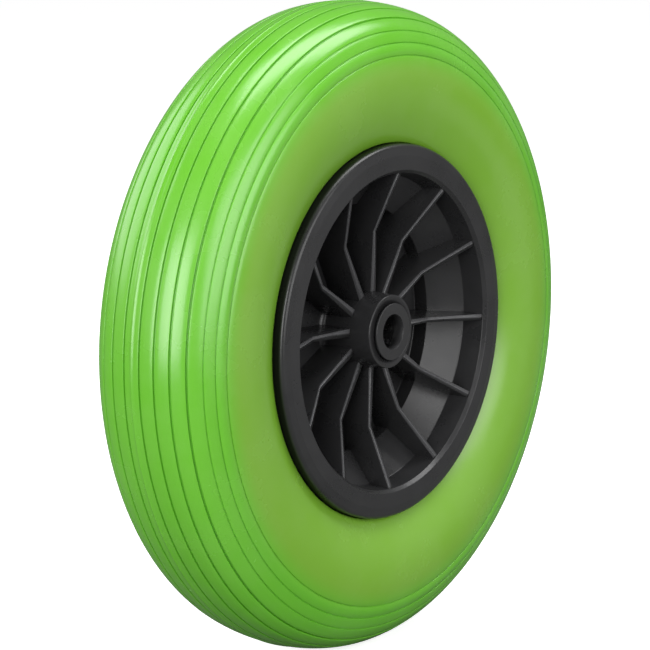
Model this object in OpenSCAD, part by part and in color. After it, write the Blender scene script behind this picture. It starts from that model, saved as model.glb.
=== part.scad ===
// Wheelbarrow wheel: a foam tyre with a ribbed tread, moulded onto a dished plastic rim
// that turns on two caged roller bearings. The axle runs along Y and the wheel stands
// upright. Each section is drawn as radius against distance from the wheel's middle plane.

/* [Tyre] */
// Diameter over the tread
tyre_d = 400; // [360:1:440]
// Width over the sidewalls
tyre_w = 90; // [80:0.5:104]
// Radius of the arc across the middle of the tread
crown_r = 75; // [64:1:86]
// Angle at which the crown arc runs into the shoulder arc
crown_turn = 14; // [12:0.5:16]
// Angle at which the shoulder arc runs into the sidewall arc
side_turn = 69; // [64:0.5:74]
// How far behind the flange's face the sidewall meets the rim
tyre_meets = 7.9; // [6:0.1:9]

/* [Tread] */
// Grooves on each half of the tread
groove_count = 4; // [2:1:5]
// Width of the rib in the middle of the tread
centre_rib = 11; // [9:0.2:13]
// Distance between grooves along the tread
groove_pitch = 9.6; // [8:0.1:11]
// Width of a groove
groove_w = 1.2; // [0.8:0.1:2.6]
// Depth of a groove
groove_depth = 1.6; // [1:0.1:2.4]
// Thin lines beyond the grooves, on each shoulder
line_count = 3; // [1:1:3]
// Distance between the thin lines
line_pitch = 7.8; // [6:0.1:9]
// Width of a thin line
line_w = 0.7; // [0.4:0.1:1.4]
// Depth of a thin line
line_depth = 0.7; // [0.3:0.1:1.2]
// Width of the mould seam round the middle
seam_w = 0.8; // [0.4:0.1:1.4]
// Height of the mould seam
seam_h = 0.3; // [0.2:0.1:0.6]

/* [Rim] */
// Width over both flanges
rim_w = 84; // [82:0.5:85]
// Outside diameter of the flanges
flange_d = 229.8; // [220:0.2:240]
// Width of the flange's sloping edge
flange_edge_w = 7; // [4:0.2:9]
// How far the sloping edge drops before it rounds over
flange_slope = 1; // [0.5:0.1:1.6]
// Radius of the flange's outer corner
flange_round = 3; // [2:0.2:4]
// Length of the lip that turns in from the flange's edge
lip_len = 11; // [10:0.5:12]
// Wall of the flange, the barrel and the lip
wall = 4; // [3:0.1:4.4]
// Width of the flange's flat face
flange_face_w = 8.8; // [6:0.2:12]
// Width of the bevel round the mouth
mouth_bevel = 1.9; // [1:0.1:2.4]
// Depth of the bevel round the mouth
mouth_bevel_depth = 2.2; // [1.4:0.1:2.6]
// Depth at which the barrel starts to slope in
slope_depth = 16.3; // [14:0.1:19]
// Depth at which the slope ends at the well
well_depth = 31.3; // [28:0.1:34]
// How far inside the mouth the well's wall lies
well_in = 22.6; // [18:0.1:26]
// Draft of the barrel's inside faces, in degrees
barrel_draft = 5; // [1:0.5:6]
// Thickness of the web
web_t = 3.4; // [2.8:0.2:7]
// Radius of the fillet between the web and the well
web_fillet = 0.8; // [0.5:0.1:3]

/* [Ribs] */
// Ribs round the wheel
rib_count = 12; // [8:1:14]
// Angle of the first rib
rib_turn = -2.2; // [-15:0.1:15]
// Thickness of a rib at the level of the flange's face
rib_t = 2.3; // [1.8:0.1:3]
// Draft of a rib's sides, in degrees
rib_draft = 2; // [1:0.25:2.5]
// Depth of the ribs' level edge round the hub
rib_depth = 19.4; // [17:0.2:22]
// How far inside the mouth the ribs start to rise to it
rib_rise_w = 38.6; // [32:0.2:44]
// How far below the mouth's bevel the ribs end
rib_drop = 0.2; // [0.1:0.1:2]

/* [Hub] */
// Depth of the hub's face behind the flange's face
hub_depth = 5.5; // [3.5:0.1:8]
// Wall of the hub round the bearing's track, at its face
hub_wall = 7.4; // [5:0.1:9]
// Draft of the hub's outside, in degrees
hub_draft = 2.5; // [1:0.5:4]
// Radius of the fillet between the hub and the web
hub_fillet = 4.5; // [3:0.5:6]
// Radial play of the axle in the passage between the two bearings
passage_play = 2; // [1:0.1:3]

/* [Caps] */
// Diameter of the axle
axle_d = 20; // [19.5:0.1:20.4]
// Radial play of the axle in a cap
axle_play = 0.3; // [0.2:0.05:0.4]
// How far a cap's flange laps over the hub's face
cap_lap = 2.4; // [1.5:0.1:4]
// Thickness of a cap's flange
cap_t = 2; // [1.6:0.1:3]
// Length of a cap's spigot in the hub
cap_spigot = 5; // [4:0.5:7]
// Width of the flare at a cap's mouth
cap_flare = 0.6; // [0.3:0.1:1]
// Depth of the flare at a cap's mouth
cap_mouth_depth = 2; // [1:0.1:2.4]

/* [Bearings] */
// Diameter of a roller
roller_d = 5; // [4.6:0.1:5.2]
// Length of a roller
roller_len = 18; // [14:0.5:19]
// Radial clearance between the axle and the rollers
roller_play = 0.05; // [0.04:0.01:0.08]
// Radial running clearance of a roller in its pocket and on its track
pocket_play = 0.06; // [0.04:0.01:0.09]
// Running clearance at a roller's ends and at a cage's ends
end_play = 0.3; // [0.2:0.05:0.4]
// Radial gap between the cage and the axle
cage_gap = 1; // [0.8:0.05:1.2]
// Radial gap between the cage and its track
cage_track_gap = 0.5; // [0.4:0.05:0.8]
// Thickness of the rings at a cage's ends
cage_ring = 2; // [1.5:0.1:3]

/* [Hidden] */
roller_count = 8;
$fn = 96;
front = 1;
back = -1;

// A rounding's circle is this much too large, so that it crosses its edges cleanly
arc_bite = 1.002;

// Levels, measured from the middle plane of the wheel
face_h = rim_w / 2;
slope_h = face_h - slope_depth;
well_h = face_h - well_depth;
web_h = web_t / 2;
rib_h = face_h - rib_depth;
hub_h = face_h - hub_depth;

// Radii of the rim
flange_r = flange_d / 2;
flat_r = flange_r - flange_edge_w;
mouth_r = flat_r - flange_face_w;
seat_r = mouth_r - mouth_bevel;
seat_end_r = seat_r - (slope_depth - mouth_bevel_depth) * tan(barrel_draft);
well_r = mouth_r - well_in;
well_end_r = well_r - (well_h - web_h) * tan(barrel_draft);
// A slope's outer face lies one wall out, and its corners move in by this much
slope_angle = atan((seat_end_r - well_r) / (slope_h - well_h));
slope_shift = wall * tan(slope_angle / 2);

// Hub and bearing, from the axle outwards
axle_r = axle_d / 2;
roller_track_r = axle_r + roller_play + roller_d / 2;
track_r = roller_track_r + roller_d / 2 + pocket_play;
hub_r = track_r + hub_wall;
hub_root_r = hub_r + (hub_h - web_h) * tan(hub_draft);
pocket_len = roller_len + 2 * end_play;
cage_len = pocket_len + 2 * cage_ring;
cage_top_h = hub_h - cap_spigot - end_play;
track_end_h = cage_top_h - cage_len - end_play;

// Tyre's outline: the crown arc runs into the shoulder arc, and that into the sidewall arc
function heading(turn) = [cos(turn), sin(turn)];
meet = [flange_r, face_h - tyre_meets];
crown_c = [tyre_d / 2 - crown_r, 0];
crown_end = crown_c + crown_r * heading(crown_turn);
// The shoulder's radius is the one for which the sidewall arc, tangent to it, reaches half
// the tyre's width and still ends where the sidewall meets the rim: the root of a quadratic
side_n = heading(side_turn);
shoulder_run = side_n - heading(crown_turn);
chord = crown_end - meet;
over_side = crown_end[1] - tyre_w / 2;
lean = 1 - side_n[1];
quad_a = 2 * shoulder_run[1] * (shoulder_run * side_n) + lean * (shoulder_run * shoulder_run);
quad_b = 2 * (over_side * (shoulder_run * side_n) + shoulder_run[1] * (chord * side_n)
    + lean * (chord * shoulder_run));
quad_c = 2 * over_side * (chord * side_n) + lean * (chord * chord);
shoulder_r = (sqrt(quad_b * quad_b - 4 * quad_a * quad_c) - quad_b) / (2 * quad_a);
shoulder_c = crown_end - shoulder_r * heading(crown_turn);
shoulder_end = crown_end + shoulder_r * shoulder_run;
side_chord = shoulder_end - meet;
side_r = side_chord * side_chord / (2 * side_chord * side_n);
side_c = shoulder_end - side_r * side_n;
meet_turn = atan2(meet[1] - side_c[1], meet[0] - side_c[0]);
crown_arc = crown_r * crown_turn * PI / 180;
shoulder_arc = shoulder_r * (side_turn - crown_turn) * PI / 180;

// A closed outline, from its points above the middle plane and their mirror images
function whole(points) = concat(
    points,
    [for (i = [len(points) - 1:-1:0]) if (points[i][1] > 0) [points[i][0], -points[i][1]]]
);

// Angle of the outline's normal at a distance along the tread from its middle
function tread_turn(s) =
    s < crown_arc ? s / crown_r * 180 / PI
    : s < crown_arc + shoulder_arc ? crown_turn + (s - crown_arc) / shoulder_r * 180 / PI
    : side_turn + (s - crown_arc - shoulder_arc) / side_r * 180 / PI;
function tread_centre(s) =
    s < crown_arc ? crown_c : s < crown_arc + shoulder_arc ? shoulder_c : side_c;
function tread_radius(s) =
    s < crown_arc ? crown_r : s < crown_arc + shoulder_arc ? shoulder_r : side_r;

// Turns a section about the axle, with its height along -Y, towards the front
module about_axle() {
    rotate([90, 0, 0])
        rotate_extrude()
            children();
}

// A section's detail above the middle plane, and the same below it
module both_halves() {
    for (side = [0, 1])
        mirror([0, side])
            children();
}

// Front pieces as drawn, back pieces as their mirror image
module on_side(side) {
    mirror([0, side == front ? 0 : 1, 0])
        children();
}

// What lies between corner b of an outline, with neighbours a and c, and its rounding
module corner(a, b, c, r) {
    u = (a - b) / norm(a - b);
    v = (c - b) / norm(c - b);
    half = acos(u * v) / 2;
    centre = b + (u + v) / norm(u + v) * r / sin(half);
    difference() {
        polygon([b, b + u * r / tan(half), centre, b + v * r / tan(half)]);
        translate(centre)
            circle(r * arc_bite);
    }
}

// Sector of a disc
module sector(centre, r, from, to) {
    reach = r / cos((to - from) / 2);
    middle = (from + to) / 2;
    intersection() {
        translate(centre)
            circle(r);
        polygon([for (p = [[0, 0], [r, from], [reach, middle], [r, to]])
            centre + p[0] * heading(p[1])]);
    }
}

// A slot in the tyre's outline, square to it, with a round bottom
module tread_cut(s, w, depth) {
    translate(tread_centre(s))
        rotate(tread_turn(s))
            translate([tread_radius(s) - depth + w / 2, 0]) {
                circle(d = w);
                translate([0, -w / 2])
                    square([depth + w, w]);
            }
}

// Section that the tyre fills, without its grooves
module tyre_outline() {
    polygon(whole([crown_end, shoulder_c, shoulder_end, meet, [0, meet[1]]]));
    sector(crown_c, crown_r, -crown_turn, crown_turn);
    both_halves() {
        sector(shoulder_c, shoulder_r, crown_turn, side_turn);
        sector(side_c, side_r, side_turn, meet_turn);
    }
}

// What the rim and the space inside it take out of the tyre
module rim_core() {
    polygon(whole([
        [well_r + wall, well_h - slope_shift],
        [seat_end_r + wall, slope_h - slope_shift],
        [seat_end_r + wall, face_h - wall],
        [flange_r - wall, face_h - wall],
        [flange_r - wall, face_h - lip_len],
        [flange_r, face_h - lip_len],
        [flange_r, face_h],
        [0, face_h]
    ]));
}

module tyre() {
    first_line = centre_rib / 2 + groove_count * groove_pitch;
    color("limegreen")
        about_axle() {
            difference() {
                tyre_outline();
                rim_core();
                both_halves() {
                    for (i = [0:groove_count - 1])
                        tread_cut(centre_rib / 2 + i * groove_pitch, groove_w, groove_depth);
                    for (i = [0:line_count - 1])
                        tread_cut(first_line + i * line_pitch, line_w, line_depth);
                }
            }
            translate([tyre_d / 2 - seam_h, -seam_w / 2])
                square([2 * seam_h, seam_w]);
        }
}

// Section of the rim: hub, web, barrel and flanges in one outline
module rim_section() {
    hub_root = [hub_root_r, web_h];
    hub_edge = [hub_r, hub_h];
    well_root = [well_end_r, web_h];
    well_edge = [well_r, well_h];
    slope_edge = [seat_end_r, slope_h];
    seat_edge = [seat_r, face_h - mouth_bevel_depth];
    flat_edge = [flat_r, face_h];
    flange_edge = [flange_r, face_h - flange_slope];
    lip_edge = [flange_r, face_h - lip_len];
    difference() {
        union() {
            polygon(whole([
                [axle_r + passage_play, track_end_h],
                [track_r, track_end_h],
                [track_r, hub_h],
                hub_edge,
                hub_root,
                well_root,
                well_edge,
                slope_edge,
                seat_edge,
                [mouth_r, face_h],
                flat_edge,
                flange_edge,
                lip_edge,
                [flange_r - wall, face_h - lip_len],
                [flange_r - wall, face_h - wall],
                [seat_end_r + wall, face_h - wall],
                [seat_end_r + wall, slope_h - slope_shift],
                [well_r + wall, well_h - slope_shift]
            ]));
            both_halves() {
                corner(hub_edge, hub_root, well_root, hub_fillet);
                corner(hub_root, well_root, well_edge, web_fillet);
            }
        }
        both_halves()
            corner(flat_edge, flange_edge, lip_edge, flange_round);
    }
}

// Side view of a rib, from the hub to the middle of the barrel's wall
module rib_side() {
    rib_end_h = face_h - mouth_bevel_depth - rib_drop;
    polygon(whole([
        [track_r + hub_wall / 2, rib_h],
        [mouth_r - rib_rise_w, rib_h],
        [seat_r, rib_end_h],
        [seat_r + wall / 2, rib_end_h],
        [seat_end_r + wall / 2, slope_h - slope_shift / 2],
        [well_r + wall / 2, well_h - slope_shift / 2]
    ]));
}

// End view of a rib, thickest at the web and thinner towards the faces
module rib_end() {
    root_t = rib_t + 2 * face_h * tan(rib_draft);
    polygon([
        [-root_t / 2, 0],
        [-rib_t / 2, face_h],
        [rib_t / 2, face_h],
        [root_t / 2, 0],
        [rib_t / 2, -face_h],
        [-rib_t / 2, -face_h]
    ]);
}

module rib() {
    intersection() {
        rotate([90, 0, 0])
            linear_extrude(height = flange_r, center = true)
                rib_side();
        rotate([90, 0, 90])
            linear_extrude(height = flange_r)
                rib_end();
    }
}

module rim() {
    color("#3c3c3e") {
        about_axle()
            rim_section();
        rotate([90, 0, 0])
            for (i = [0:rib_count - 1])
                rotate(rib_turn - i * 360 / rib_count)
                    rib();
    }
}

module cap(side) {
    bore_r = axle_r + axle_play;
    cap_r = track_r + cap_lap;
    color("#38383a")
        on_side(side)
            about_axle()
                polygon([
                    [bore_r, hub_h - cap_spigot],
                    [bore_r, hub_h + cap_t - cap_mouth_depth],
                    [bore_r + cap_flare, hub_h + cap_t],
                    [cap_r, hub_h + cap_t],
                    [cap_r, hub_h],
                    [track_r, hub_h],
                    [track_r, hub_h - cap_spigot]
                ]);
}

// Where a roller stands round the axle
module at_roller(i) {
    rotate([90, 0, 0])
        rotate(i * 360 / roller_count)
            translate([roller_track_r, 0, cage_top_h - cage_len / 2])
                children();
}

module cage(side) {
    inner_r = axle_r + cage_gap;
    outer_r = track_r - cage_track_gap;
    color("#2c2c2e")
        on_side(side)
            difference() {
                about_axle()
                    translate([inner_r, cage_top_h - cage_len])
                        square([outer_r - inner_r, cage_len]);
                for (i = [0:roller_count - 1])
                    at_roller(i)
                        cylinder(h = pocket_len, d = roller_d + 2 * pocket_play, center = true);
            }
}

module roller(side, i) {
    color("silver")
        on_side(side)
            at_roller(i)
                cylinder(h = roller_len, d = roller_d, center = true);
}

tyre();
rim();
cap(front);  // cap_front
cap(back);  // cap_back
cage(front);  // cage_front
cage(back);  // cage_back
for (i = [1:roller_count]) {
    roller(front, i);
    roller(back, i);
}
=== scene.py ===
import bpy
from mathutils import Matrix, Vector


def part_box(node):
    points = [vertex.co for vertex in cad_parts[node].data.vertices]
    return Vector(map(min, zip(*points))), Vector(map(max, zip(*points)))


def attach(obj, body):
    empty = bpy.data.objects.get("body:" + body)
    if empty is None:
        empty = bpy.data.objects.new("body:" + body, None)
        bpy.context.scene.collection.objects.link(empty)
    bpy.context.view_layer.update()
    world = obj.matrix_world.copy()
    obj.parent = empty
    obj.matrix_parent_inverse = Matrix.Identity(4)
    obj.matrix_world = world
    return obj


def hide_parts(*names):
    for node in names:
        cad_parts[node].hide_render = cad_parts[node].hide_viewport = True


bl_info = {
    "name": "Wheelbarrow wheel",
    "version": (1, 0, 0),
    "blender": (4, 5, 0),
    "location": "3D View > Sidebar > Wheel",
    "description": "Models a foam-tyred wheelbarrow wheel on a ribbed plastic rim",
    "category": "Object",
}

import math

import bmesh
import bpy
from bpy.props import FloatProperty, FloatVectorProperty, IntProperty, PointerProperty
from mathutils import Matrix, Vector

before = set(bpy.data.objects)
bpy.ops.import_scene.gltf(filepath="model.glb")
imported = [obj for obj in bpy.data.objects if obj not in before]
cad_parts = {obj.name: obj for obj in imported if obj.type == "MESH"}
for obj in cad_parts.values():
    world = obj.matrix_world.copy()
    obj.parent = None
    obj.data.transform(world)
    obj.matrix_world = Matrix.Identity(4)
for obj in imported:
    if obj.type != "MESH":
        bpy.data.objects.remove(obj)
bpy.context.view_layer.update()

MM = 0.001
IMAGE_W = 650
SENSOR_W = 36.0
TYRE_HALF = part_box("tyre")[1]
RIM_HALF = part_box("rim")[1]
CAP_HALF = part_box("cap_front")[1]


def length(name, description, value, **limits):
    """A length that a user may change, given in millimetres and kept in metres."""
    return FloatProperty(
        name=name, description=description, default=value * MM, precision=5,
        unit="LENGTH", subtype="DISTANCE", **limits,
    )


def turn(name, description, degrees):
    return FloatProperty(
        name=name, description=description, default=math.radians(degrees),
        unit="ROTATION", subtype="ANGLE",
    )


def colour(name, description, value):
    return FloatVectorProperty(
        name=name, description=description, default=value,
        size=3, min=0.0, max=1.0, subtype="COLOR",
    )


class TyreSettings(bpy.types.PropertyGroup):
    seam_h: length("Seam height", "Height of the mould seam round the middle", 0.3)
    seam_w: length("Seam width", "Width of the mould seam", 0.8)
    crown_r: length("Crown radius", "Radius of the arc across the tread's middle", 75)
    crown_turn: turn("Crown turn", "Where the crown runs into the shoulder", 14)
    side_turn: turn("Side turn", "Where the shoulder runs into the sidewall", 69)
    meets: length("Tyre meets rim", "Depth behind the flange at which the sidewall ends", 7.9)
    edge_r: length("Edge radius", "Rounding of the skin where it meets the flange", 1.2)
    groove_count: IntProperty(name="Grooves", description="Grooves on each half", default=4)
    centre_rib: length("Centre rib", "Width of the rib in the middle of the tread", 11)
    groove_pitch: length("Groove pitch", "Distance between grooves", 9.6)
    groove_w: length("Groove width", "Width of a groove", 1.2)
    groove_depth: length("Groove depth", "Depth of a groove", 1.6)
    groove_lip: length("Groove lip", "Rounding of a groove's edges", 0.35)
    line_count: IntProperty(name="Lines", description="Thin lines on each shoulder", default=3)
    line_pitch: length("Line pitch", "Distance between thin lines", 7.8)
    line_w: length("Line width", "Width of a thin line", 0.7)
    line_depth: length("Line depth", "Depth of a thin line", 0.7)
    line_lip: length("Line lip", "Rounding of a thin line's edges", 0.3)
    bead_h: length("Bead", "Rise of the skin between the last two lines", 0.5)
    turns: IntProperty(name="Segments", description="Segments round the tyre", default=240)
    green: colour("Tread green", "Colour of the tread", (0.138, 0.505, 0.022))
    olive: colour("Sidewall green", "Colour of the sidewall", (0.196, 0.445, 0.028))


class RimSettings(bpy.types.PropertyGroup):
    flat_r: length("Flat radius", "Where the flange's face turns into its slope", 107.9)
    slope: length("Flange slope", "Drop of the flange's slope", 1)
    flange_round: length("Flange corner", "Radius of the flange's outer corner", 3)
    lip_len: length("Lip", "Length of the lip at the flange's edge", 11)
    wall: length("Wall", "Wall of the flange and barrel", 4)
    mouth_r: length("Mouth radius", "Radius of the flange's mouth", 99.1)
    mouth_bevel: length("Mouth bevel", "Width of the bevel round the mouth", 1.9)
    bevel_depth: length("Bevel depth", "Depth of the bevel round the mouth", 2.2)
    slope_depth: length("Slope depth", "Depth at which the barrel slopes in", 16.3)
    well_depth: length("Well depth", "Depth at which the slope ends", 31.3)
    well_r: length("Well radius", "Inside radius of the well", 76.5)
    draft: turn("Draft", "Draft of the barrel's inside faces", 5)
    web_t: length("Web", "Thickness of the web", 3.4)
    web_fillet: length("Web fillet", "Fillet round the web", 0.8)
    edge_r: length("Edge radius", "Small rounding of the moulding's edges", 0.6)
    slope_fillet: length("Slope fillet", "Fillet where the barrel slopes in", 1)
    hub_depth: length("Hub depth", "Depth of the hub's face", 5.5)
    hub_r: length("Hub radius", "Radius of the hub at its face", 22.51)
    hub_draft: turn("Hub draft", "Draft of the hub's outside", 2.5)
    hub_fillet: length("Hub fillet", "Fillet between the hub and the web", 4.5)
    passage_r: length("Passage radius", "Radius between the bearings", 12)
    track_r: length("Track radius", "Radius of a bearing's track", 15.11)
    track_end: length("Track end", "Distance of a track's end from the middle", 8.3)
    rib_count: IntProperty(name="Ribs", description="Ribs round the wheel", default=12)
    rib_turn: turn("First rib", "Angle of the first rib", -2.2)
    rib_t: length("Rib thickness", "Thickness of a rib at the flange's level", 2.3)
    rib_draft: turn("Rib draft", "Draft of a rib's sides", 2)
    rib_depth: length("Rib depth", "Depth of the ribs' level edge", 19.4)
    rib_kink_r: length("Kink radius", "Where the ribs start to rise", 60.5)
    rib_end_depth: length("Rib end depth", "Depth of the ribs' outer end", 2.4)
    rib_fillet: length("Rib fillet", "Fillet where a rib meets the wall", 1.2)
    rib_round: length("Rib edge", "Rounding of a rib's free edge", 0.35)
    turns: IntProperty(name="Segments", description="Segments round the rim", default=192)
    grey: colour("Rim grey", "Colour of the rim's plastic", (0.026, 0.026, 0.027))
    # Painted highlight: how many times lighter the ribs' free edges are painted than the rim's grey.
    painted_edge_highlight: FloatProperty(name="Highlight", description="How much lighter the ribs' edges are", default=4)


class HubSettings(bpy.types.PropertyGroup):
    bore_r: length("Bore", "Radius of a cap's bore", 10.3)
    cap_r: length("Cap radius", "Radius of a cap's flange", 17.51)
    cap_t: length("Cap thickness", "Thickness of a cap's flange", 2)
    lip_t: length("Cap lip", "Thickness of the lip at a cap's edge", 1.1)
    lip_in: length("Cap undercut", "Width of the gap under that lip", 0.5)
    spigot: length("Spigot", "Length of a cap's spigot", 5)
    mouth_r: length("Cap mouth", "Radius of the flare at the mouth", 10.9)
    mouth_depth: length("Flare depth", "Depth of the flare", 2)
    edge_r: length("Edge radius", "Rounding of a cap's edges", 0.4)
    turns: IntProperty(name="Segments", description="Segments round a cap", default=96)
    black: colour("Cap black", "Colour of the caps", (0.026, 0.026, 0.027))
    soot: colour("Cage colour", "Colour of the cages' plastic", (0.012, 0.012, 0.013))
    steel: colour("Roller steel", "Colour of the rollers", (0.62, 0.62, 0.63))


class StageSettings(bpy.types.PropertyGroup):
    azimuth: turn("Azimuth", "Camera's turn round the wheel", -53.41)
    elevation: turn("Elevation", "Camera's height above the horizon", 9.68)
    distance: length("Distance", "Camera's distance from its target", 1611)
    focal_px: FloatProperty(name="Focal length", description="In pixels of the picture", default=2647)
    target: FloatVectorProperty(
        name="Target", description="Point that the camera looks at", unit="LENGTH", size=3,
        subtype="TRANSLATION", default=(-26.5 * MM, -6.2 * MM, 4.6 * MM),
    )
    world: FloatProperty(name="World light", description="Strength of the soft light", default=0.24)
    world_gloss: FloatProperty(name="World gloss", description="Its strength in reflections", default=0.2)
    floor: colour("Floor", "Colour of the floor", (0.80, 0.80, 0.80))
    floor_lift: FloatProperty(name="Floor glow", description="Glow that only the camera sees", default=0.8)
    floor_bounce: FloatProperty(name="Floor bounce", description="Share of the floor's light on the wheel", default=0.22)


class WheelSettings(bpy.types.PropertyGroup):
    tyre: PointerProperty(type=TyreSettings, name="Tyre", description="The tyre's sizes")
    rim: PointerProperty(type=RimSettings, name="Rim", description="The rim's sizes")
    hub: PointerProperty(type=HubSettings, name="Hub", description="The hub's sizes")
    stage: PointerProperty(type=StageSettings, name="Stage", description="Camera and light")


# Sections, as points of radius and height above the wheel's middle plane

def polar(angle, radius):
    return Vector((math.cos(angle), math.sin(angle))) * radius


def rounded(corners, step=math.radians(12)):
    """An outline with its corners rounded: each corner is a radius, a height and a rounding."""
    outline = []
    for i, (r, h, rounding) in enumerate(corners):
        corner = Vector((r, h))
        if rounding <= 0:
            outline.append(corner)
            continue
        before = (Vector(corners[i - 1][:2]) - corner).normalized()
        after = (Vector(corners[(i + 1) % len(corners)][:2]) - corner).normalized()
        half = before.angle(after) / 2
        centre = corner + (before + after).normalized() * rounding / math.sin(half)
        start = corner + before * rounding / math.tan(half) - centre
        swing = math.pi - 2 * half
        way = math.copysign(1, before.y * after.x - before.x * after.y)
        steps = max(2, round(swing / step))
        for k in range(steps + 1):
            outline.append(centre + Matrix.Rotation(way * swing * k / steps, 2) @ start)
    return outline


def whole(corners):
    """A closed outline from its corners above the middle plane and their mirror images."""
    return corners + [(r, -h, rounding) for r, h, rounding in reversed(corners)]


def add_spin(bm, outline, turns):
    """Turns a closed outline about the axle, which is the Y axis."""
    verts = [bm.verts.new((p.x, -p.y, 0)) for p in outline]
    edges = [bm.edges.new((v, verts[i - 1])) for i, v in enumerate(verts)]
    bmesh.ops.spin(
        bm, geom=verts + edges, cent=(0, 0, 0), axis=(0, 1, 0), dvec=(0, 0, 0),
        angle=math.tau, steps=turns, use_merge=True, use_duplicate=False,
    )
    bmesh.ops.remove_doubles(bm, verts=bm.verts[:], dist=0.001 * MM)


def add_piece(name, bm, material, body, slot, *nodes, weighted=True):
    """Finishes a piece: smooth shading, its material, its body and the nodes it stands for."""
    bmesh.ops.recalc_face_normals(bm, faces=bm.faces[:])
    mesh = bpy.data.meshes.new(name)
    bm.to_mesh(mesh)
    bm.free()
    mesh.shade_smooth()
    mesh.materials.append(material)
    piece = bpy.data.objects.new(name, mesh)
    bpy.context.scene.collection.objects.link(piece)
    if weighted:
        normals = piece.modifiers.new("Flat faces", "WEIGHTED_NORMAL")
        normals.mode = "FACE_AREA"
        normals.weight = 100
    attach(piece, body)
    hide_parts(*nodes)
    return piece


# Tyre

class TreadLine:
    """The tyre's outline from the tread's middle to the flange, measured along the skin."""

    def __init__(self, s, flange_r, meet_h):
        meet = Vector((flange_r, meet_h))
        crown_c = Vector((TYRE_HALF.x - s.seam_h - s.crown_r, 0))
        crown_end = crown_c + polar(s.crown_turn, s.crown_r)
        side_n = polar(s.side_turn, 1)
        run = side_n - polar(s.crown_turn, 1)
        chord = crown_end - meet
        over = crown_end.y - TYRE_HALF.y
        lean = 1 - side_n.y
        a = 2 * run.y * run.dot(side_n) + lean * run.length_squared
        b = 2 * (over * run.dot(side_n) + run.y * chord.dot(side_n) + lean * chord.dot(run))
        c = 2 * over * chord.dot(side_n) + lean * chord.length_squared
        shoulder_r = (math.sqrt(b * b - 4 * a * c) - b) / (2 * a)
        side_chord = chord + shoulder_r * run
        side_r = side_chord.length_squared / (2 * side_chord.dot(side_n))
        side_c = meet + side_chord - side_r * side_n
        end = meet - side_c
        self.arcs = [
            (crown_c, s.crown_r, 0, s.crown_turn),
            (crown_end - polar(s.crown_turn, shoulder_r), shoulder_r, s.crown_turn, s.side_turn),
            (side_c, side_r, s.side_turn, math.atan2(end.y, end.x)),
        ]
        self.end = sum(r * (to - start) for _, r, start, to in self.arcs)

    def point(self, along, depth):
        """The point at a distance along the skin and a depth under it."""
        left = abs(along)
        for centre, r, start, to in self.arcs:
            if left <= r * (to - start) or centre is self.arcs[-1][0]:
                p = centre + polar(start + left / r, r - depth)
                return Vector((p.x, math.copysign(p.y, along)))
            left -= r * (to - start)


def groove(middle, w, depth, lip):
    """A groove as distances along the skin and depths under it, with round lips and bottom."""
    half = w / 2
    quarter = [math.radians(a) for a in (0, 30, 60, 90)]
    bottom = [math.radians(a) for a in range(0, 181, 30)]
    left = [(middle - half - lip + lip * math.sin(a), lip - lip * math.cos(a)) for a in quarter]
    floor = [(middle - half * math.cos(a), depth - half + half * math.sin(a)) for a in bottom]
    right = [(2 * middle - along, d) for along, d in reversed(left)]
    return left + floor + right


def tread_lines(s):
    """Distances of the grooves and of the thin lines from the middle of the tread."""
    grooves = [s.centre_rib / 2 + i * s.groove_pitch for i in range(s.groove_count)]
    lines = [grooves[-1] + s.groove_pitch + i * s.line_pitch for i in range(s.line_count)]
    return grooves, lines


def half_skin(s, line):
    """Half the tyre's skin, from the mould seam to the flange."""
    step = 3 * MM
    marks = [(s.seam_w / 4, -0.7 * s.seam_h), (s.seam_w / 2, 0)]
    grooves, lines = tread_lines(s)
    for middle in grooves:
        marks += groove(middle, s.groove_w, s.groove_depth, s.groove_lip)
    for middle in lines[:-1]:
        marks += groove(middle, s.line_w, s.line_depth, s.line_lip)
    start, end = marks[-1][0], lines[-1] - s.line_w / 2 - s.line_lip
    marks += [
        (start + (end - start) * share, -4 * s.bead_h * share * (1 - share))
        for share in (0.15, 0.3, 0.5, 0.7, 0.85)
    ]
    marks += groove(lines[-1], s.line_w, s.line_depth, s.line_lip)
    last = line.end - s.edge_r
    marks.append((last, 0))
    skin = []
    for (along, depth), (to, to_depth) in zip(marks, marks[1:]):
        skin.append((along, depth))
        spans = math.ceil((to - along) / step) if depth == 0 and to_depth == 0 else 1
        skin += [(along + (to - along) * k / spans, 0) for k in range(1, spans)]
    skin += [
        (last + s.edge_r * math.sin(a), s.edge_r - s.edge_r * math.cos(a))
        for a in (math.radians(d) for d in (0, 22, 45, 67, 90))
    ]
    return skin


def make_tyre(s, rim):
    face_h = RIM_HALF.y
    flange_r = RIM_HALF.x
    line = TreadLine(s, flange_r, face_h - s.meets)
    half = half_skin(s, line)
    skin = [line.point(-along, depth) for along, depth in reversed(half)]
    skin.append(line.point(0, -s.seam_h))
    skin += [line.point(along, depth) for along, depth in half]
    inner_r = seat_end_r(rim) + rim.wall
    lip_h = face_h - rim.lip_len
    seat = [(flange_r, lip_h, 0), (flange_r - rim.wall, lip_h, 0),
            (flange_r - rim.wall, face_h - rim.wall, 0), (inner_r, face_h - rim.wall, 0)]
    seat += barrel_back(rim)
    bed = [Vector(c[:2]) for c in whole(seat)]
    bm = bmesh.new()
    add_spin(bm, skin + bed, s.turns)
    add_piece("foam_tyre", bm, foam_skin(s, line), "wheel", "tyre", "tyre", weighted=False)


# Rim

def seat_end_r(s):
    """Radius of the barrel where it starts to slope in."""
    return s.mouth_r - s.mouth_bevel - (s.slope_depth - s.bevel_depth) * math.tan(s.draft)


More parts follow.
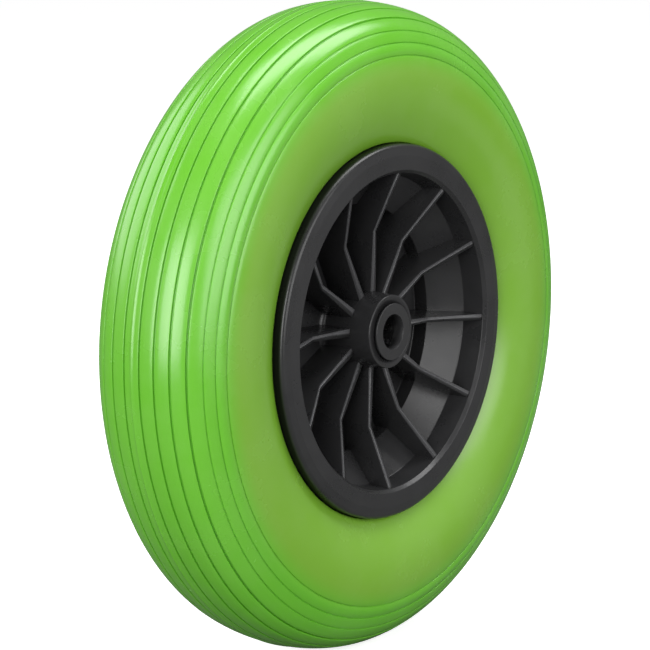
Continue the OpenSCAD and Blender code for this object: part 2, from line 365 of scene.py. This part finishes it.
def barrel_back(s):
    """The two corners behind the barrel's slope, one wall out from its face."""
    run = seat_end_r(s) - s.well_r
    drop = s.well_depth - s.slope_depth
    shift = s.wall * math.tan(math.atan(run / drop) / 2)
    face_h = RIM_HALF.y
    return [(seat_end_r(s) + s.wall, face_h - s.slope_depth - shift, 0),
            (s.well_r + s.wall, face_h - s.well_depth - shift, 0)]


class RimLine:
    """Named corners of the rim's front half, each a radius and a height."""

    def __init__(self, s):
        face_h = RIM_HALF.y
        web_h = s.web_t / 2
        hub_h = face_h - s.hub_depth
        well_h = face_h - s.well_depth
        self.hub_edge = (s.hub_r, hub_h)
        self.hub_root = (s.hub_r + (hub_h - web_h) * math.tan(s.hub_draft), web_h)
        self.well_root = (s.well_r - (well_h - web_h) * math.tan(s.draft), web_h)
        self.well_edge = (s.well_r, well_h)
        self.slope_edge = (seat_end_r(s), face_h - s.slope_depth)
        self.seat_edge = (s.mouth_r - s.mouth_bevel, face_h - s.bevel_depth)
        self.rib_h = face_h - s.rib_depth
        self.rib_hub = (s.hub_r + (hub_h - self.rib_h) * math.tan(s.hub_draft), self.rib_h)
        self.rib_kink = (s.rib_kink_r, self.rib_h)
        self.rib_end = (self.seat_edge[0], face_h - s.rib_end_depth)


def rim_outline(s, line):
    face_h = RIM_HALF.y
    flange_r = RIM_HALF.x
    lip_h = face_h - s.lip_len
    return rounded(whole([
        (s.passage_r, s.track_end, 0),
        (s.track_r, s.track_end, 0),
        (s.track_r, line.hub_edge[1], 0),
        (*line.hub_edge, s.edge_r),
        (*line.hub_root, s.hub_fillet),
        (*line.well_root, s.web_fillet),
        (*line.well_edge, s.edge_r),
        (*line.slope_edge, s.slope_fillet),
        (*line.seat_edge, s.edge_r),
        (s.mouth_r, face_h, s.edge_r),
        (s.flat_r, face_h, 2 * s.edge_r),
        (flange_r, face_h - s.slope, s.flange_round),
        (flange_r, lip_h, s.edge_r),
        (flange_r - s.wall, lip_h, s.edge_r),
        (flange_r - s.wall, face_h - s.wall, 0),
        (seat_end_r(s) + s.wall, face_h - s.wall, 0),
        *barrel_back(s),
    ]))


def span(point, start, end):
    """Distance of a point from a straight edge."""
    along = end - start
    share = (point - start).dot(along) / along.length_squared
    return (point - start - along * min(1, max(0, share))).length


def nearest(point, path):
    return min(span(point, a, b) for a, b in zip(path, path[1:]))


def flare(distance, radius):
    """How far a fillet or a rounding of that radius stands out, at a distance from its edge."""
    left = max(0, radius - distance)
    return radius - math.sqrt(radius**2 - left**2)


def add_rib(bm, s, line):
    """The front half of one rib: a drafted plate with fillets at the walls and a round edge."""
    bury = 0.05 * MM
    held = [Vector(p) for p in (line.rib_hub, line.hub_root, line.well_root, line.well_edge,
                                line.slope_edge, line.rib_end)]
    free = [Vector(p) for p in (line.rib_end, line.rib_kink, line.rib_hub)]
    outline = rounded([
        (line.rib_hub[0] - bury, line.rib_h, 0),
        (line.hub_root[0] - bury, line.hub_root[1] - bury, 0),
        (line.well_root[0] + bury, line.well_root[1] - bury, 0),
        (line.well_edge[0] + bury, line.well_edge[1], 0),
        (line.slope_edge[0] + bury, line.slope_edge[1], 0),
        (line.rib_end[0] + bury, line.rib_end[1], 0),
        (*line.rib_kink, 4 * s.edge_r),
    ])
    verts = [bm.verts.new((p.x, -p.y, 0)) for p in outline]
    face = bm.faces.new(verts)
    faces = [face]
    for gap in (0.08, 0.12, 0.2, 0.3, 0.3, 0.4):
        made = bmesh.ops.inset_region(bm, faces=[face], thickness=gap * MM, use_even_offset=True)
        faces += made["faces"]
    solid = bmesh.ops.solidify(bm, geom=faces, thickness=MM)["geom"]
    plate = set(verts)
    for item in [*faces, *solid]:
        if isinstance(item, bmesh.types.BMFace):
            plate.update(item.verts)
    for v in plate:
        side = math.copysign(1, abs(v.co.z) - MM / 2)
        at = Vector((v.co.x, -v.co.y))
        t = s.rib_t / 2 + (RIM_HALF.y - at.y) * math.tan(s.rib_draft)
        t += flare(nearest(at, held), s.rib_fillet) - flare(nearest(at, free), s.rib_round)
        v.co.z = side * t
        v.co.x = math.sqrt(max(at.x**2 - t**2, 0))
    return list(plate)


def make_rim(s):
    line = RimLine(s)
    bm = bmesh.new()
    add_rib(bm, s, line)
    bmesh.ops.recalc_face_normals(bm, faces=bm.faces[:])
    bmesh.ops.mirror(bm, geom=bm.verts[:] + bm.edges[:] + bm.faces[:], axis="Y", merge_dist=-1)
    pair = bm.verts[:] + bm.edges[:] + bm.faces[:]
    bmesh.ops.rotate(bm, verts=bm.verts[:], matrix=Matrix.Rotation(-s.rib_turn, 3, "Y"))
    for i in range(1, s.rib_count):
        copy = bmesh.ops.duplicate(bm, geom=pair)["geom"]
        verts = [v for v in copy if isinstance(v, bmesh.types.BMVert)]
        bmesh.ops.rotate(bm, verts=verts, matrix=Matrix.Rotation(math.tau * i / s.rib_count, 3, "Y"))
    add_spin(bm, rim_outline(s, line), s.turns)
    add_piece("ribbed_rim", bm, rim_plastic(s), "wheel", "rim", "rim")


# Hub

def make_cap(s, rim, name, side):
    hub_h = RIM_HALF.y - rim.hub_depth
    outline = rounded([
        (s.bore_r, hub_h - s.spigot, 0),
        (s.bore_r, hub_h + s.cap_t - s.mouth_depth, 0),
        (s.mouth_r, hub_h + s.cap_t, s.edge_r / 2),
        (s.cap_r, hub_h + s.cap_t, s.edge_r),
        (s.cap_r, hub_h + s.cap_t - s.lip_t, 0),
        (s.cap_r - s.lip_in, hub_h + s.cap_t - s.lip_t, 0),
        (s.cap_r - s.lip_in, hub_h, 0),
        (rim.track_r, hub_h, 0),
        (rim.track_r, hub_h - s.spigot, 0),
    ])
    bm = bmesh.new()
    add_spin(bm, outline, s.turns)
    bmesh.ops.scale(bm, vec=(1, side, 1), verts=bm.verts[:])
    add_piece(f"{name}_cover", bm, cap_plastic(s), "wheel", "cap", name)


def dress_bearings(s):
    """The cages and rollers keep their solids and get their materials."""
    finishes = {"cage": cage_plastic(s), "roller": roller_steel(s)}
    for name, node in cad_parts.items():
        kind = name.split("_")[0]
        if kind in finishes:
            node.data.materials.clear()
            node.data.materials.append(finishes[kind])


# Materials

class Tree:
    """Adds nodes to a tree and links them by their sockets' names."""

    def __init__(self, tree):
        self.tree = tree

    def add(self, kind, values=None, **settings):
        node = self.tree.nodes.new(kind)
        for name, value in settings.items():
            setattr(node, name, value)
        for name, value in (values or {}).items():
            self.feed(node, name, value)
        return node

    def feed(self, node, name, value):
        socket = node.inputs[name]
        if isinstance(value, bpy.types.NodeSocket):
            self.tree.links.new(value, socket)
        else:
            socket.default_value = value

    def math(self, operation, *values):
        node = self.add("ShaderNodeMath", operation=operation)
        for i, value in enumerate(values):
            self.feed(node, i, value)
        return node.outputs[0]

    def ramp(self, value, low, high, to_low=0.0, to_high=1.0):
        values = {"Value": value, "From Min": low, "From Max": high,
                  "To Min": to_low, "To Max": to_high}
        node = self.add("ShaderNodeMapRange", values, interpolation_type="SMOOTHSTEP")
        return node.outputs["Result"]

    def mix(self, factor, a, b):
        node = self.add("ShaderNodeMix", data_type="RGBA")
        for socket, value in zip((node.inputs[0], node.inputs[6], node.inputs[7]), (factor, a, b)):
            if isinstance(value, bpy.types.NodeSocket):
                self.tree.links.new(value, socket)
            else:
                socket.default_value = value
        return node.outputs[2]


def rgba(value, scale=1.0):
    return (value[0] * scale, value[1] * scale, value[2] * scale, 1.0)


def moulded_surface():
    """A group for moulded skins: fine grain, soft waves and worn patches."""
    found = bpy.data.node_groups.get("Moulded surface")
    if found:
        return found
    group = bpy.data.node_groups.new("Moulded surface", "ShaderNodeTree")
    sockets = (
        ("Vector", "INPUT", "NodeSocketVector", None),
        ("Grain scale", "INPUT", "NodeSocketFloat", 900.0),
        ("Wave scale", "INPUT", "NodeSocketFloat", 22.0),
        ("Wave share", "INPUT", "NodeSocketFloat", 0.4),
        ("Roughness low", "INPUT", "NodeSocketFloat", 0.35),
        ("Roughness high", "INPUT", "NodeSocketFloat", 0.45),
        ("Height", "OUTPUT", "NodeSocketFloat", None),
        ("Roughness", "OUTPUT", "NodeSocketFloat", None),
        ("Patches", "OUTPUT", "NodeSocketFloat", None),
    )
    for name, way, kind, value in sockets:
        socket = group.interface.new_socket(name, in_out=way, socket_type=kind)
        if value is not None:
            socket.default_value = value
    tree = Tree(group)
    given = tree.add("NodeGroupInput").outputs
    grain = tree.add("ShaderNodeTexNoise", {
        "Vector": given["Vector"], "Scale": given["Grain scale"], "Detail": 3.0,
    })
    wave = tree.add("ShaderNodeTexNoise", {
        "Vector": given["Vector"], "Scale": given["Wave scale"], "Detail": 2.0,
    })
    patches = tree.add("ShaderNodeTexNoise", {
        "Vector": given["Vector"], "Scale": given["Wave scale"], "Detail": 5.0, "Roughness": 0.6,
    })
    height = tree.math("MULTIPLY_ADD", wave.outputs["Fac"], given["Wave share"], grain.outputs["Fac"])
    spots = tree.ramp(patches.outputs["Fac"], 0.35, 0.68)
    rough = tree.add("ShaderNodeMapRange", {
        "Value": spots, "To Min": given["Roughness low"], "To Max": given["Roughness high"],
    })
    tree.add("NodeGroupOutput", {
        "Height": height, "Roughness": rough.outputs["Result"], "Patches": spots,
    })
    return group


def new_material(name):
    """A material with its tree, its shader and Object coordinates."""
    material = bpy.data.materials.new(name)
    material.use_nodes = True
    tree = Tree(material.node_tree)
    shader = material.node_tree.nodes["Principled BSDF"]
    where = tree.add("ShaderNodeTexCoord").outputs["Object"]
    return material, tree, shader, where


def surface(tree, where, grain_scale, wave_scale, wave_share, rough):
    group = tree.add("ShaderNodeGroup", node_tree=moulded_surface())
    values = {"Vector": where, "Grain scale": grain_scale, "Wave scale": wave_scale,
              "Wave share": wave_share, "Roughness low": rough[0], "Roughness high": rough[1]}
    for name, value in values.items():
        tree.feed(group, name, value)
    return group.outputs


def radius_of(tree, where):
    """Distance from the axle at each point of the surface."""
    parts = tree.add("ShaderNodeSeparateXYZ", {"Vector": where}).outputs
    flat = tree.add("ShaderNodeCombineXYZ", {"X": parts["X"], "Z": parts["Z"]}).outputs[0]
    return tree.add("ShaderNodeVectorMath", {0: flat}, operation="LENGTH").outputs["Value"]


def bump(tree, shader, height, distance, strength=1.0):
    node = tree.add("ShaderNodeBump", {"Height": height, "Distance": distance, "Strength": strength})
    tree.feed(shader, "Normal", node.outputs["Normal"])


def foam_skin(s, line):
    """The tyre's moulded foam skin: fresh green on the tread, more olive on the sidewall."""
    material, tree, shader, where = new_material("Foam skin")
    skin = surface(tree, where, 700.0, 14.0, 0.5, (0.22, 0.29))
    border = line.point(tread_lines(s)[1][-1], 0).x
    tread = tree.ramp(radius_of(tree, where), border - 12 * MM, border + 5 * MM)
    body = tree.mix(tread, rgba(s.olive), rgba(s.green))
    faint = tree.math("MULTIPLY", skin["Patches"], 0.06)
    pale = tree.mix(faint, body, rgba((0.55, 0.75, 0.35)))
    tree.feed(shader, "Base Color", pale)
    tree.feed(shader, "Roughness", skin["Roughness"])
    tree.feed(shader, "Specular IOR Level", 0.8)
    bump(tree, shader, skin["Height"], 0.015 * MM)
    return material


def rib_edges(tree, s, radius, height):
    """A mask for the ribs' free edges, level at first and then rising to the flange, where a painted
    highlight goes.
    """
    line = RimLine(s)
    slope = (line.rib_end[1] - line.rib_h) / (line.rib_end[0] - line.rib_kink[0])
    past = tree.math("MAXIMUM", tree.math("SUBTRACT", radius, line.rib_kink[0]), 0.0)
    edge = tree.math("MULTIPLY_ADD", past, slope, line.rib_h)
    near = tree.ramp(tree.math("SUBTRACT", height, edge), -0.3 * MM, -0.1 * MM)
    inside = tree.ramp(radius, line.rib_hub[0] + 0.2 * MM, line.rib_hub[0] + 0.6 * MM)
    outside = tree.ramp(radius, line.rib_end[0] - 0.9 * MM, line.rib_end[0] - 0.5 * MM, 1.0, 0.0)
    return tree.math("MULTIPLY", near, tree.math("MULTIPLY", inside, outside))


def rim_plastic(s):
    """Satin black-grey plastic with a fine grain and worn patches, a painted highlight on the ribs' free
    edges and painted shadow on the flange's outer lip.
    """
    material, tree, shader, where = new_material("Rim plastic")
    skin = surface(tree, where, 1500.0, 30.0, 0.6, (0.26, 0.35))
    body = tree.mix(skin["Patches"], rgba(s.grey, 0.92), rgba(s.grey, 1.08))
    radius = radius_of(tree, where)
    height = tree.math("ABSOLUTE", tree.add("ShaderNodeSeparateXYZ", {"Vector": where}).outputs["Y"])
    # Painted highlight: the ribs' free edges get a lighter grey.
    body = tree.mix(rib_edges(tree, s, radius, height), body, rgba(s.grey, s.painted_edge_highlight))
    # Painted shadow: the flange's outer lip behind its rounding, next to the tyre, gets a much darker grey
    # and less specular, standing for the shade in that gap.
    lip_h = RIM_HALF.y - s.flange_round
    outer = tree.ramp(radius, RIM_HALF.x - 1.2 * MM, RIM_HALF.x - 0.2 * MM)
    behind = tree.ramp(height, lip_h - MM, lip_h + MM, 1.0, 0.0)
    shade = tree.math("MULTIPLY", outer, behind)
    tree.feed(shader, "Base Color", tree.mix(shade, body, rgba(s.grey, 0.25)))
    tree.feed(shader, "Specular IOR Level", tree.math("MULTIPLY_ADD", shade, -0.35, 0.5))
    tree.feed(shader, "Roughness", skin["Roughness"])
    bump(tree, shader, skin["Height"], 0.012 * MM)
    return material


def cap_plastic(s):
    found = bpy.data.materials.get("Cap plastic")
    if found:
        return found
    material, tree, shader, where = new_material("Cap plastic")
    skin = surface(tree, where, 1800.0, 60.0, 0.4, (0.38, 0.46))
    tree.feed(shader, "Base Color", tree.mix(skin["Patches"], rgba(s.black, 0.95), rgba(s.black, 1.05)))
    tree.feed(shader, "Roughness", skin["Roughness"])
    bump(tree, shader, skin["Height"], 0.015 * MM)
    return material


def cage_plastic(s):
    material, tree, shader, where = new_material("Cage plastic")
    skin = surface(tree, where, 2000.0, 80.0, 0.3, (0.40, 0.50))
    tree.feed(shader, "Base Color", tree.mix(skin["Patches"], rgba(s.soot, 0.92), rgba(s.soot)))
    tree.feed(shader, "Roughness", skin["Roughness"])
    bump(tree, shader, skin["Height"], 0.01 * MM)
    return material


def roller_steel(s):
    """Ground steel, with a fine grain."""
    material, tree, shader, where = new_material("Roller steel")
    skin = surface(tree, where, 3000.0, 120.0, 0.2, (0.22, 0.32))
    tree.feed(shader, "Base Color", tree.mix(skin["Patches"], rgba(s.steel, 0.9), rgba(s.steel)))
    tree.feed(shader, "Roughness", skin["Roughness"])
    shader.inputs["Metallic"].default_value = 1.0
    bump(tree, shader, skin["Height"], 0.004 * MM)
    return material


# Stage

def make_floor(s):
    reach = 8.0
    bm = bmesh.new()
    bmesh.ops.create_grid(bm, x_segments=1, y_segments=1, size=reach)
    bmesh.ops.translate(bm, vec=(0, 0, -TYRE_HALF.z), verts=bm.verts[:])
    mesh = bpy.data.meshes.new("floor")
    bm.to_mesh(mesh)
    bm.free()
    material, tree, shader, where = new_material("Pale floor")
    nodes = material.node_tree.nodes
    nodes.remove(shader)
    seen = tree.add("ShaderNodeLightPath").outputs["Is Camera Ray"]
    paint = tree.mix(seen, rgba(s.floor, s.floor_bounce), rgba(s.floor))
    diffuse = tree.add("ShaderNodeBsdfDiffuse", {"Color": paint}).outputs[0]
    lift = tree.math("MULTIPLY", seen, s.floor_lift)
    glow = tree.add("ShaderNodeEmission", {"Color": (1, 1, 1, 1), "Strength": lift}).outputs[0]
    both = tree.add("ShaderNodeAddShader", {0: diffuse, 1: glow}).outputs[0]
    tree.feed(nodes["Material Output"], "Surface", both)
    mesh.materials.append(material)
    floor = bpy.data.objects.new("floor", mesh)
    bpy.context.scene.collection.objects.link(floor)


def make_world(s):
    world = bpy.data.worlds.new("Soft white")
    bpy.context.scene.world = world
    world.use_nodes = True
    tree = Tree(world.node_tree)
    background = world.node_tree.nodes["Background"]
    rays = tree.add("ShaderNodeLightPath").outputs
    soft = tree.math("MULTIPLY_ADD", rays["Is Glossy Ray"], s.world_gloss - s.world, s.world)
    strength = tree.math("MAXIMUM", soft, rays["Is Camera Ray"])
    tree.feed(background, "Color", (1, 1, 1, 1))
    tree.feed(background, "Strength", strength)


def heading(azimuth, elevation):
    """Direction from the wheel, with 0 in front of its face and turning towards +X."""
    level = math.cos(elevation)
    return Vector((math.sin(azimuth) * level, -math.cos(azimuth) * level, math.sin(elevation)))


def add_lamp(name, azimuth, elevation, distance, size, glare):
    """A soft box that faces the wheel. Its glare is the brightness of its surface."""
    data = bpy.data.lights.new(name, "AREA")
    data.shape = "RECTANGLE"
    data.size, data.size_y = size
    data.energy = glare * math.pi * size[0] * size[1]
    lamp = bpy.data.objects.new(name, data)
    bpy.context.scene.collection.objects.link(lamp)
    way = heading(math.radians(azimuth), math.radians(elevation))
    lamp.location = way * distance
    lamp.rotation_mode = "QUATERNION"
    lamp.rotation_quaternion = (-way).to_track_quat("-Z", "Y")


def make_camera(s):
    data = bpy.data.cameras.new("Camera")
    data.sensor_width = SENSOR_W
    data.lens = s.focal_px * SENSOR_W / IMAGE_W
    camera = bpy.data.objects.new("Camera", data)
    bpy.context.scene.collection.objects.link(camera)
    back = heading(s.azimuth, s.elevation)
    camera.location = Vector(s.target) + back * s.distance
    camera.rotation_mode = "QUATERNION"
    camera.rotation_quaternion = (-back).to_track_quat("-Z", "Y")
    bpy.context.scene.camera = camera


def make_stage(s):
    make_floor(s)
    make_world(s)
    add_lamp("panel", -79, 12, 2.4, (1.9, 1.7), 5)
    add_lamp("key", 0, 16, 3, (2.6, 2.0), 2.8)
    add_lamp("top", 56, 71, 2.4, (1.1, 2.7), 5)
    add_lamp("fill", 42, 3, 0.95, (0.4, 0.5), 0.25)
    add_lamp("back", -165, 28, 3, (2.6, 2.0), 2.2)
    bpy.context.scene.view_settings.view_transform = "Standard"
    make_camera(s)


# Operators, one for each piece or group of like pieces

class PieceOperator:
    """What the operators share."""

    bl_options = {"REGISTER", "UNDO"}

    def execute(self, context):
        self.make(context.scene.wheel)
        return {"FINISHED"}


class WHEEL_OT_tyre(PieceOperator, bpy.types.Operator):
    """Models the foam tyre with its ribbed tread"""

    bl_idname = "wheel.tyre"
    bl_label = "Tyre"

    def make(self, wheel):
        make_tyre(wheel.tyre, wheel.rim)


class WHEEL_OT_rim(PieceOperator, bpy.types.Operator):
    """Models the dished rim with its ribs and hub"""

    bl_idname = "wheel.rim"
    bl_label = "Rim"

    def make(self, wheel):
        make_rim(wheel.rim)


class WHEEL_OT_caps(PieceOperator, bpy.types.Operator):
    """Models the two caps that close the hub"""

    bl_idname = "wheel.caps"
    bl_label = "Caps"

    def make(self, wheel):
        make_cap(wheel.hub, wheel.rim, "cap_front", 1)
        make_cap(wheel.hub, wheel.rim, "cap_back", -1)


class WHEEL_OT_bearings(PieceOperator, bpy.types.Operator):
    """Gives the cages and rollers their materials"""

    bl_idname = "wheel.bearings"
    bl_label = "Bearings"

    def make(self, wheel):
        dress_bearings(wheel.hub)


class WHEEL_OT_stage(PieceOperator, bpy.types.Operator):
    """Makes the floor, the soft light and the camera"""

    bl_idname = "wheel.stage"
    bl_label = "Stage"

    def make(self, wheel):
        make_stage(wheel.stage)


class WHEEL_PT_panel(bpy.types.Panel):
    """Lists the wheel's operators in the sidebar"""

    bl_label = "Wheelbarrow wheel"
    bl_idname = "WHEEL_PT_panel"
    bl_space_type = "VIEW_3D"
    bl_region_type = "UI"
    bl_category = "Wheel"

    def draw(self, context):
        for operator in OPERATORS:
            self.layout.operator(operator.bl_idname)


SETTINGS = (TyreSettings, RimSettings, HubSettings, StageSettings, WheelSettings)
OPERATORS = (WHEEL_OT_tyre, WHEEL_OT_rim, WHEEL_OT_caps, WHEEL_OT_bearings, WHEEL_OT_stage)


def register():
    for cls in (*SETTINGS, *OPERATORS, WHEEL_PT_panel):
        bpy.utils.register_class(cls)
    bpy.types.Scene.wheel = PointerProperty(type=WheelSettings)


def unregister():
    del bpy.types.Scene.wheel
    for cls in reversed((*SETTINGS, *OPERATORS, WHEEL_PT_panel)):
        bpy.utils.unregister_class(cls)


def main():
    register()
    bpy.ops.wheel.tyre()
    bpy.ops.wheel.rim()
    bpy.ops.wheel.caps()
    bpy.ops.wheel.bearings()
    bpy.ops.wheel.stage()


if __name__ == "__main__":
    main()
